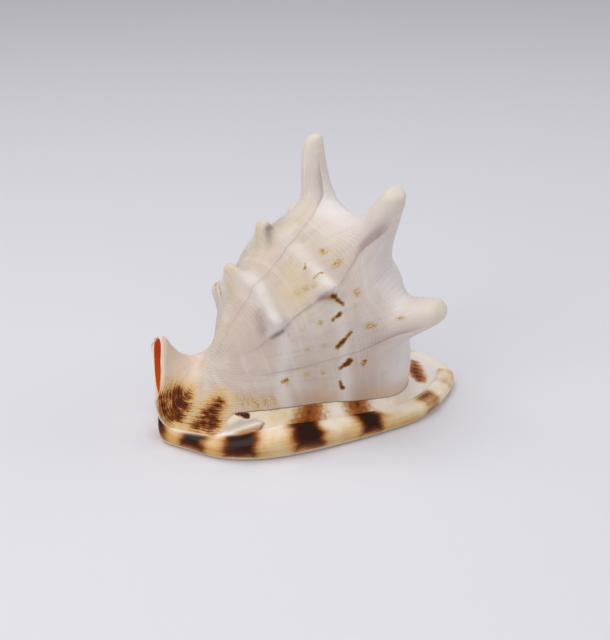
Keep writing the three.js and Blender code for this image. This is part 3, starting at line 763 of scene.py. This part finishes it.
def ball(across, down):
    """A mesh ball with the column and ring number of each of its points."""
    bm = bmesh.new()
    bmesh.ops.create_uvsphere(bm, u_segments=across, v_segments=down - 1, radius=1)
    spots = np.array([v.co for v in bm.verts])
    latitude = np.arccos(np.clip(spots[:, 2], -1, 1)) / np.pi
    longitude = np.arctan2(spots[:, 1], spots[:, 0]) / (2 * np.pi)
    ring = np.rint(latitude * (down - 1)).astype(int)
    column = np.rint(longitude * across).astype(int) % across
    return bm, column, ring


def finish_mesh(bm, places, name):
    for vert, place in zip(bm.verts, (places - ORIGIN) * MM):
        vert.co = place
    bmesh.ops.recalc_face_normals(bm, faces=bm.faces)
    for face in bm.faces:
        face.smooth = True
    mesh = bpy.data.meshes.new(name)
    bm.to_mesh(mesh)
    bm.free()
    return mesh


def into_scene(name, data):
    """An object made of the data, linked into the scene."""
    made = bpy.data.objects.new(name, data)
    bpy.context.scene.collection.objects.link(made)
    return made


bm, column_of, ring_of = ball(columns, rings)
shell_mesh = finish_mesh(bm, points[column_of, ring_of], "horned_helmet_shell")
painted = dict(
    enamel=enamel, band=band, bar=bar, patch=patch, blotch=blotch, fleck=fleck, gold=gold, yellow=yellow,
    painted_shade=painted_shade, pause=pause_gap, ridge=ridge_white, ray=ray, tip=tip, tongue=tongue, chip=chip, canal=canal,
    fan=fan, mouth=mouth, lip=lip, folded=folded, seam=seam)
for name, values in painted.items():
    layer = shell_mesh.attributes.new(name, "FLOAT", "POINT")
    layer.data.foreach_set("value", np.clip(values, -FAR, FAR)[column_of, ring_of].astype(np.float32))
run = np.broadcast_to(rim_run, along.shape)
# The jump of the fan's run lies at the spire, away from the fan.
fan_run = (run + rim_length / 2) % rim_length - rim_length / 2
flat = np.zeros(along.shape)
grains = dict(threads=(along, arc, flat), rimway=(run, band * BAND_MM, flat), fanway=(fan_run, inland, flat))
for name, parts in grains.items():
    layer = shell_mesh.attributes.new(name, "FLOAT_VECTOR", "POINT")
    values = np.stack(parts, -1)[column_of, ring_of]
    layer.data.foreach_set("vector", values.astype(np.float32).ravel())
shell = into_scene("shell_visual", shell_mesh)
print(len(shell_mesh.vertices), "vertices")

# %% [markdown]
# ## Painting tools
# A material is a net of small steps. These helpers add one step at a time, so that the recipe of a finish
# reads from top to bottom.

# %% Material helpers
def srgb(red, green, blue):
    """A colour given as on a screen, from 0 to 255, in the linear values that light works with."""
    c = np.array((red, green, blue)) / 255
    return (*np.where(c <= 0.04045, c / 12.92, ((c + 0.055) / 1.055) ** 2.4), 1)


class Finish:
    """A material and the steps that lead to it."""

    def __init__(self, name, **sockets):
        self.material = bpy.data.materials.new(name)
        self.material.use_nodes = True
        self.nodes, self.links = self.material.node_tree.nodes, self.material.node_tree.links
        self.surface = next(n for n in self.nodes if n.type == "BSDF_PRINCIPLED")
        self.place = self.nodes.new("ShaderNodeTexCoord").outputs["Object"]
        self.set(**sockets)

    def feed(self, socket, value):
        if isinstance(value, bpy.types.NodeSocket):
            self.links.new(value, socket)
        else:
            socket.default_value = value

    def set(self, **sockets):
        for name, value in sockets.items():
            self.feed(self.surface.inputs[name.replace("_", " ")], value)

    def step(self, kind, inputs, output=0, **settings):
        """One node with its settings and what feeds it, and the output it gives."""
        node = self.nodes.new("ShaderNode" + kind)
        for name, setting in settings.items():
            setattr(node, name, setting)
        for socket, fed in inputs.items():
            self.feed(node.inputs[socket], fed)
        return node.outputs[output]

    def value(self, name, kind="Fac"):
        return self.step("Attribute", {}, kind, attribute_name=name)

    def noise(self, scale, detail=2, where=None):
        return self.step("TexNoise", dict(Vector=where or self.place, Scale=scale, Detail=detail), "Fac")

    def wave(self, where, direction, scale, distortion, detail, detail_scale):
        inputs = {"Vector": where, "Scale": scale, "Distortion": distortion, "Detail": detail,
                  "Detail Scale": detail_scale}
        return self.step("TexWave", inputs, "Fac", bands_direction=direction)

    def stretched(self, where, factors):
        return self.step("VectorMath", {0: where, 1: factors}, operation="MULTIPLY")

    def part(self, vector, index):
        return self.step("SeparateXYZ", {0: vector}, index)

    def math(self, operation, a, b=0.0):
        return self.step("Math", {0: a, 1: b}, operation=operation)

    def times(self, a, b):
        return self.math("MULTIPLY", a, b)

    def between(self, value, low, high, first=0.0, last=1.0):
        """Smooth step from one value to another, as the input passes from low to high."""
        inputs = dict(enumerate((value, low, high, first, last)))
        return self.step("MapRange", inputs, interpolation_type="SMOOTHSTEP")

    def uneven(self, value, noise, amount):
        """The value, pushed to and fro by a noise."""
        return self.math("ADD", value, self.times(self.math("SUBTRACT", noise, 0.5), amount))

    def mix(self, factor, a, b):
        return self.step("Mix", {0: factor, 6: a, 7: b}, 2, data_type="RGBA")

    def coats(self, colour, value, layers):
        """Colours laid over one another, each as the value passes from its low to its high."""
        for low, high, most, coat in layers:
            colour = self.mix(self.between(value, low, high, 0, most), colour, coat)
        return colour

    def bump(self, height, distance, strength):
        return self.step("Bump", dict(Height=height, Distance=distance, Strength=strength), "Normal")


print("mid grey on a screen is", np.round(srgb(128, 128, 128)[0], 3), "in linear values")

# %% [markdown]
# ## The outside: ground colour
# The back of the whorl is dull and woven by two sets of fine threads, one along the coil and one across it.
# Noise stretched along these ways gives the soft bands and streaks of growth. One material will hold body
# and enamel, since they meet along a line that wanders over the mesh.

# %% Threads and ground colour
CREAM, BLUSH, GREY = srgb(220, 207, 193), srgb(210, 190, 175), srgb(196, 185, 179)
WHITE, CHALK, STRAW = srgb(234, 228, 222), srgb(236, 231, 228), srgb(220, 197, 148)
RUST, PEACH, MAUVE = srgb(216, 172, 122), srgb(234, 213, 194), srgb(140, 116, 118)

outside = Finish("shell_outside")
mix, between, uneven, times = outside.mix, outside.between, outside.uneven, outside.times
value, noise, stretched, coats = outside.value, outside.noise, outside.stretched, outside.coats
threads = value("threads", "Vector")
along_axis = outside.part(threads, 0)
horn, fan, ray = value("tip"), value("fan"), value("ray")
fine, grit, broad = noise(260, 4), noise(850, 3), noise(34, 3)
worn = times(between(noise(55, 3), 0.35, 0.65, 0.2, 1), between(horn, 0.1, 0.6, 1, 0.1))
spiral = outside.wave(threads, "X", 0.21, 2.4, 3, 0.4)
growth = outside.wave(threads, "Y", 0.24, 2.6, 3, 0.35)
knots = times(spiral, growth)
weave = times(outside.math("ADD", spiral, growth), times(worn, 0.5))
streaks = noise(1, 4, stretched(threads, (0.03, 0.30, 1)))
bands = noise(1, 3, stretched(threads, (0.22, 0.02, 1)))

body = mix(between(broad, 0.35, 0.68), CREAM, BLUSH)
body = mix(between(streaks, 0.45, 0.72, 0, 0.5), body, GREY)
body = mix(between(bands, 0.48, 0.75, 0, 0.4), body, WHITE)
body = mix(between(uneven(along_axis, broad, 30), -38, -14, 0, 0.75), body, CHALK)
low = between(uneven(value("enamel"), broad, 8), -16, -3, 0, 0.65)
low = times(low, between(knots, 0.1, 0.5, 0.45, 1))
low = times(low, between(fan, 0, 1, 1, 0.6))
body = mix(times(low, between(ray, 0, 1, 1, 0.2)), body, RUST)
body = mix(times(value("canal"), 0.9), body, PEACH)
body = mix(times(worn, between(knots, 0, 0.3, 0.15, 0)), body, MAUVE)
body = mix(times(ray, 0.55), body, WHITE)
print(len(outside.nodes), "steps make the ground colour")

# %% [markdown]
# ## Ridges, horns and growth lines
# Ridges and knobs are rubbed white. The horns are streaked lengthwise, since the growth lines were drawn up
# with them, and pale at the tips. Where growth paused there is a mauve line of painted shade along the step,
# with a pink side, and painted shade darkens the wall under the knobs and beside horn B.

# %% Ridges, horns and growth lines
HORN, ROSE, TIP = srgb(216, 198, 185), srgb(186, 158, 150), srgb(222, 212, 194)
PAINTED_SHADE_COLOUR = srgb(112, 84, 78)

body = mix(times(value("ridge"), 0.6), body, WHITE)
yellow = between(uneven(knots, fine, 0.9), 0.1, 0.8, 0.15, 0.75)
body = mix(times(value("yellow"), yellow), body, STRAW)
body = mix(between(horn, 0.04, 0.5, 0, 0.5), body, HORN)
stripes = noise(1, 4, stretched(threads, (0.08, 0.9, 1)))
on_horn = between(horn, 0.03, 0.3)
body = mix(times(on_horn, between(stripes, 0.5, 0.7, 0, 0.6)), body, CHALK)
rosy = times(value("folded"), between(horn, 0, 0.08, 0.15, 0.65))
rosy = times(rosy, between(horn, 0.85, 0.35))
body = mix(rosy, body, ROSE)
body = mix(between(horn, 0.55, 1, 0, 0.8), body, TIP)
# Painted shade: a broken mauve line along the step of each growth pause.
pause = outside.math("ABSOLUTE", uneven(value("pause"), fine, 1.6))
faint = between(broad, 0.35, 0.62, 0.8, 2.6)
line = between(times(pause, faint), 0.1, 1.5, 0.26, 0)
line = times(line, between(horn, 0.7, 0.3))
body = mix(times(line, between(along_axis, -101, -88)), body, MAUVE)
# Painted shade under the knobs and beside horn B, in a purple-grey brown.
shade = times(value("painted_shade"), between(fine, 0.2, 0.7, 0.55, 0.85))
body = mix(shade, body, PAINTED_SHADE_COLOUR)
print(len(outside.nodes), "steps with ridges and horns")

# %% [markdown]
# ## Golden spots and brown flecks
# A spot is a wash of gold with a finer stipple in it. A fleck is cut off sharply, with an amber fringe.

# %% Golden spots and brown flecks
GOLD_WASH, OCHRE, UMBER, AMBER = srgb(208, 180, 118), srgb(176, 136, 58), srgb(94, 46, 12), srgb(182, 132, 60)

gold = value("gold")
dots = uneven(noise(1, 2, stretched(threads, (1.2, 0.9, 1))), grit, 0.5)
stipple = times(gold, between(dots, 0.4, 0.62, 0.3, 1.2))
body = mix(between(uneven(gold, fine, 0.5), 0.1, 0.9, 0, 0.5), body, GOLD_WASH)
body = coats(body, stipple, ((0.2, 1.1, 0.8, OCHRE), (0.9, 1.25, 0.5, UMBER)))
fleck = uneven(uneven(value("fleck"), fine, 3), grit, 1.4)
body = coats(body, fleck, ((-0.4, 0.5, 0.9, AMBER), (0.3, 1.3, 0.95, UMBER)))
print(len(outside.nodes), "steps with spots and flecks")

# %% [markdown]
# ## The fan beside the canal
# Here ripples follow the margin, so they are made from the distance to its crest. Two brown blotches lie on
# them, streaked along the ripples, with a golden haze round them.

# %% Fan of ripples beside the canal
HAY, CARAMEL, BROWN, SEPIA = srgb(220, 188, 128), srgb(184, 118, 42), srgb(134, 66, 18), srgb(82, 34, 10)
UMBRA = srgb(64, 21, 4)

fanway = value("fanway", "Vector")
ripple = outside.wave(stretched(fanway, (0.3, 1, 1)), "Y", 0.22, 8, 4, 1.2)
streak = noise(1, 4, stretched(fanway, (0.11, 0.6, 1)))
patchy = times(fan, between(noise(130, 3), 0.35, 0.65, 0.25, 1))
stain = value("blotch")
body = mix(times(patchy, between(ripple, 0.1, 0.5, 0.12, 0)), body, MAUVE)
haze = uneven(uneven(uneven(stain, streak, 10), ripple, 2), grit, 5)
body = coats(body, haze, ((-12, -2, 0.85, HAY), (-5.5, 1, 0.85, CARAMEL)))
blotch = uneven(uneven(uneven(stain, streak, 10), ripple, 1.4), grit, 4)
body = coats(body, blotch, ((-2.2, 1, 0.9, BROWN), (0, 2.6, 0.9, UMBRA)))
print(len(outside.nodes), "steps with the fan")

# %% [markdown]
# ## Enamel
# Flange and rim are glossy and pale, sallow towards the foot. The rim has dark bars that redden and fade
# downwards, the flange brown patches that are stippled at the edge. A thin pale line along the rim's foot is a
# painted reflection of the floor.

# %% Enamel of flange and rim
MILK, BONE, HONEY, PITCH = srgb(248, 238, 222), srgb(228, 200, 147), srgb(208, 154, 80), srgb(38, 19, 11)
RUSSET = srgb(158, 80, 22)

rimway = value("rimway", "Vector")
along_rim, band_at = outside.part(rimway, 0), value("band")
grain = noise(1, 4, stretched(rimway, (0.035, 0.45, 1)))
cloud, speckle = noise(70, 3), noise(420, 2)
pale_end = between(along_rim, 170, 245, 1, 0.25)
sallow = between(uneven(band_at, cloud, 0.8), 1, 1.55, 0, 0.9)
rim_colour = mix(times(sallow, pale_end), MILK, BONE)
amber = between(uneven(uneven(band_at, grain, 1.2), cloud, 1.4), 1.2, 2.1, 0, 0.8)
rim_colour = mix(times(amber, pale_end), rim_colour, HONEY)
left_end = between(along_rim, 100, 62, 0, 0.55)
left_end = times(left_end, between(grain, 0.3, 0.6, 0.6, 1))
rim_colour = mix(left_end, rim_colour, HONEY)
bar_edge = uneven(uneven(value("bar"), grain, 7), cloud, 8)
from_foot = outside.math("SUBTRACT", 1.78, uneven(uneven(band_at, cloud, 0.4), grain, 0.2))
bar_edge = outside.math("MINIMUM", bar_edge, times(from_foot, 22))
stained = coats(rim_colour, bar_edge, ((-9, 0, 0.8, HONEY), (-4.5, 1.5, 1, BROWN), (-1.5, 3, 1, SEPIA)))
upper = between(uneven(band_at, grain, 0.6), 2, 1.25, 0.1, 1)
stained = mix(times(between(bar_edge, 0.5, 4.5), upper), stained, PITCH)
# Painted reflection: a thin pale line along the rim's foot, as the floor would show in the gloss.
stained = mix(between(uneven(band_at, grain, 0.1), 1.81, 1.9, 0, 0.6), stained, MILK)

patch_edge = uneven(uneven(uneven(value("patch"), grain, 4), cloud, 7), speckle, 9)
tinted = between(uneven(cloud, grain, 0.3), 0.4, 0.68, 0, 0.6)
flange = mix(times(tinted, pale_end), MILK, BONE)
flange = mix(between(along_rim, 128, 104, 0, 0.3), flange, BONE)
flange = mix(between(along_rim, 185, 245, 0, 0.7), flange, CHALK)
flange = coats(flange, patch_edge, ((-10, -3, 0.3, HAY), (-7, 1, 0.85, CARAMEL)))
flange = coats(flange, patch_edge, ((-1, 4, 0.85, RUSSET), (3.5, 9, 0.75, SEPIA)))
on_rim = between(uneven(band_at, cloud, 0.3), 0.84, 1.04)
enamel_colour = mix(on_rim, flange, stained)
print(len(outside.nodes), "steps with the enamel")

# %% [markdown]
# ## Tongue, chip and seam
# A tongue of enamel has run over the flange: white inside, with painted grey shade along its curled upper
# edge, and with the rim's brown showing through at its foot. Beside it a chip is broken out of the seam
# between body and enamel.
# Gloss belongs to the enamel alone, so the same mask drives roughness and coat.

# %% Tongue, chip and seam
SHADE_GREY, CHIPPED, SEAM, LIP = srgb(190, 178, 166), srgb(92, 42, 20), srgb(112, 74, 46), srgb(246, 232, 212)
THREAD_DEPTH = 0.00025  # metres

tongue = value("tongue")
on_tongue = between(tongue, -0.3, 0.2)
covered = times(between(tongue, -0.2, 0.6), between(band_at, 0.95, 1.25, 1, 0.15))
enamel_colour = mix(covered, enamel_colour, MILK)
# Painted shade: grey along the tongue's curled upper edge.
shaded_curl = times(between(band_at, 0.6, 0.35), on_tongue)
shaded_curl = times(shaded_curl, between(uneven(tongue, cloud, 1), 0.4, 1.6, 0.85, 0))
enamel_colour = mix(shaded_curl, enamel_colour, SHADE_GREY)
scorch = times(between(along_rim, 60, 70), on_tongue)
scorch = times(scorch, between(uneven(band_at, cloud, 0.5), 0.12, 0.5, 0, 0.8))
enamel_colour = mix(scorch, enamel_colour, CARAMEL)
crisp = value("seam")
edge = uneven(value("enamel"), fine, between(crisp, 0, 1, 5, 1))
edge = times(edge, between(crisp, 0, 1, 0.12, 1))
is_enamel = between(edge, -0.2, 0.2)
lip = value("lip")
seam = times(between(outside.math("ABSOLUTE", edge), 0.1, 0.7, 0.7, 0), crisp)
colour = mix(is_enamel, body, enamel_colour)
colour = mix(seam, colour, SEAM)
colour = mix(times(lip, 0.85), colour, LIP)
hole = uneven(uneven(value("chip"), grit, 1.2), fine, 3)
colour = mix(between(hole, -0.2, 0.5), colour, CHIPPED)

dull = outside.math("SUBTRACT", 1.0, is_enamel)
cloth = times(weave, outside.math("SUBTRACT", 1.0, fan))
cloth = outside.math("ADD", cloth, times(stripes, times(on_horn, 1.2)))
rippled = times(ripple, times(patchy, 0.8))
woven = times(outside.math("ADD", cloth, rippled), dull)
outside.set(Base_Color=colour, Specular_IOR_Level=0.12,
            Roughness=between(is_enamel, 0, 1, 0.55, 0.27),
            Coat_Weight=times(is_enamel, 0.06), Coat_Roughness=0.1,
            Normal=outside.bump(woven, THREAD_DEPTH, 0.8))
print(len(outside.nodes), "steps in all")

# %% [markdown]
# ## Underside and inside
# Nobody sees these in the picture, yet a shell is picked up and turned over. The underside is a smooth callus
# that deepens to orange towards the slit, and the slit and canal are orange within.

# %% Finishes of underside and inside
CALLUS, WARM, DEEP = srgb(236, 214, 184), srgb(224, 160, 100), srgb(190, 96, 46)
ORANGE_RED, ORANGE = srgb(202, 70, 8), srgb(228, 108, 22)
CALLUS_GRAIN = 0.0008  # metres

underside = Finish("shell_underside", Roughness=0.28, Coat_Weight=0.3)
mouth_at = underside.uneven(underside.value("mouth"), underside.noise(60, 3), 10)
callus = underside.mix(underside.between(mouth_at, 6, 40), WARM, CALLUS)
callus = underside.mix(underside.between(mouth_at, -2, 7), DEEP, callus)
underside.set(Base_Color=callus, Normal=underside.bump(underside.noise(90, 3), CALLUS_GRAIN, 0.5))

inside = Finish("shell_inside", Roughness=0.4, Specular_IOR_Level=0.1)
depth = inside.noise(45, 3)
inside.set(Base_Color=inside.mix(inside.between(depth, 0.3, 0.7), ORANGE, ORANGE_RED))
print("finishes", outside.material.name, underside.material.name, inside.material.name)

# %% [markdown]
# ## Cutting the opening
# The cutter is a second ball, drawn out along the line of the opening. A Boolean takes it out of the shell,
# and its own material goes with the new faces.

# %% The cut
UNDERSIDE_ZONE = 4  # faces from this zone on have the underside's finish
SHARP_ANGLE = np.radians(50)

cut_bm, side_of, step_of = ball(CUT_SIDES, CUT_RINGS + 2)
step = np.clip(step_of - 1, 0, CUT_RINGS - 1)
turn = 2 * np.pi * side_of / CUT_SIDES
lean = cut_facing[step] * np.pi / 2
teeth = np.sin(np.pi * TEETH * (cut_u[step] - TEETH_FROM) / (1 - TEETH_FROM)) ** 2
tooth = np.where((cut_u[step] > TEETH_FROM) & (np.cos(turn) > 0), TOOTH_DEPTH * teeth, 0)
wide = np.where((step_of == 0) | (step_of == CUT_RINGS + 1), 0, 1)
out = np.column_stack([-np.sin(lean), 0 * lean, -np.cos(lean)])
places = cut_middle[step] + out * (cut_depth[step] * np.sin(turn) * wide)[:, None]
places[:, 1] += (cut_width[step] - tooth) * np.cos(turn) * wide
cut_mesh = finish_mesh(cut_bm, places, "opening_cut")
cut_mesh.materials.append(inside.material)
cutter = into_scene("opening_cut", cut_mesh)

shell_mesh.materials.append(outside.material)
shell_mesh.materials.append(underside.material)
corner = np.zeros(len(shell_mesh.loops), int)
shell_mesh.loops.foreach_get("vertex_index", corner)
first = np.zeros(len(shell_mesh.polygons), int)
shell_mesh.polygons.foreach_get("loop_start", first)
face_zone = np.minimum.reduceat(zone[ring_of][corner], first)
shell_mesh.polygons.foreach_set("material_index", (face_zone >= UNDERSIDE_ZONE).astype(np.int32))

cut = shell.modifiers.new("opening", "BOOLEAN")
cut.object = cutter
cut.operation = "DIFFERENCE"
cut.solver = "MANIFOLD"
cut.material_mode = "TRANSFER"
cut_open = bpy.data.meshes.new_from_object(shell.evaluated_get(bpy.context.evaluated_depsgraph_get()))
shell.modifiers.clear()
shell.data = cut_open
bpy.data.objects.remove(cutter)
cut_open.set_sharp_from_angle(angle=SHARP_ANGLE)
print(len(cut_open.polygons), "faces after the cut, materials", [m.name for m in cut_open.materials])
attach(shell, "root")
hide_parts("shell")

# %% [markdown]
# ## The studio
# Shells are photographed on pale paper under large soft lamps. A wide floor stands for the paper. One wide
# light overhead and three weaker ones give soft shadows, and a pale world fills them.

# %% Floor and light
FLOOR_HALF = 6  # metres
WORLD_STRENGTH = 0.36
floor_bm = bmesh.new()
bmesh.ops.create_grid(floor_bm, x_segments=1, y_segments=1, size=FLOOR_HALF)
floor_mesh = bpy.data.meshes.new("floor")
floor_bm.to_mesh(floor_mesh)
floor_bm.free()
floor = into_scene("floor", floor_mesh)
paper = Finish("paper", Base_Color=srgb(226, 225, 231), Roughness=0.7)
floor_mesh.materials.append(paper.material)

LIGHTS = (
    ("overhead", (-0.3, 0.1, 1.55), (0, 0, 0.05), 1.6, 17),
    ("left", (-1.6, -0.4, 0.8), (0, 0, 0.08), 1.2, 8),
    ("right", (1.5, -0.6, 0.6), (0, 0, 0.06), 1.2, 5.5),
    ("front", (-0.5, -2.2, 1.3), (0, 0, 0.05), 1.2, 4),
)
for name, place, aim, size, power in LIGHTS:
    lamp = bpy.data.lights.new(name, "AREA")
    lamp.size, lamp.energy = size, power
    light = into_scene(name, lamp)
    light.location = place
    light.rotation_euler = (Vector(aim) - Vector(place)).to_track_quat("-Z", "Y").to_euler()
world = bpy.data.worlds.new("studio")
world.use_nodes = True
world.node_tree.nodes["Background"].inputs["Color"].default_value = srgb(236, 236, 242)
world.node_tree.nodes["Background"].inputs["Strength"].default_value = WORLD_STRENGTH
bpy.context.scene.world = world
bpy.context.scene.view_settings.view_transform = "Standard"
print(len(LIGHTS), "lights")

# %% [markdown]
# ## The camera
# The photo looks down on the shield side from the canal's end. The camera is placed by a bearing, a height
# angle and a distance from the point it aims at, so that each can be tuned alone. A long lens keeps the near
# rim from looming.

# %% Camera
AZIMUTH, HEIGHT_ANGLE, DISTANCE, LENS = np.radians(-34), np.radians(24), 0.9, 81
AIM = (0, 0, 60)

aim = Vector((np.array(AIM) - ORIGIN) * MM)
level = np.cos(HEIGHT_ANGLE)
away = Vector((np.sin(AZIMUTH) * level, -np.cos(AZIMUTH) * level, np.sin(HEIGHT_ANGLE)))
lens = bpy.data.cameras.new("camera")
lens.lens = LENS
camera = into_scene("camera", lens)
camera.location = aim + away * DISTANCE
camera.rotation_euler = (-away).to_track_quat("-Z", "Y").to_euler()
bpy.context.scene.camera = camera
print("the camera stands at", [round(number, 2) for number in camera.location])
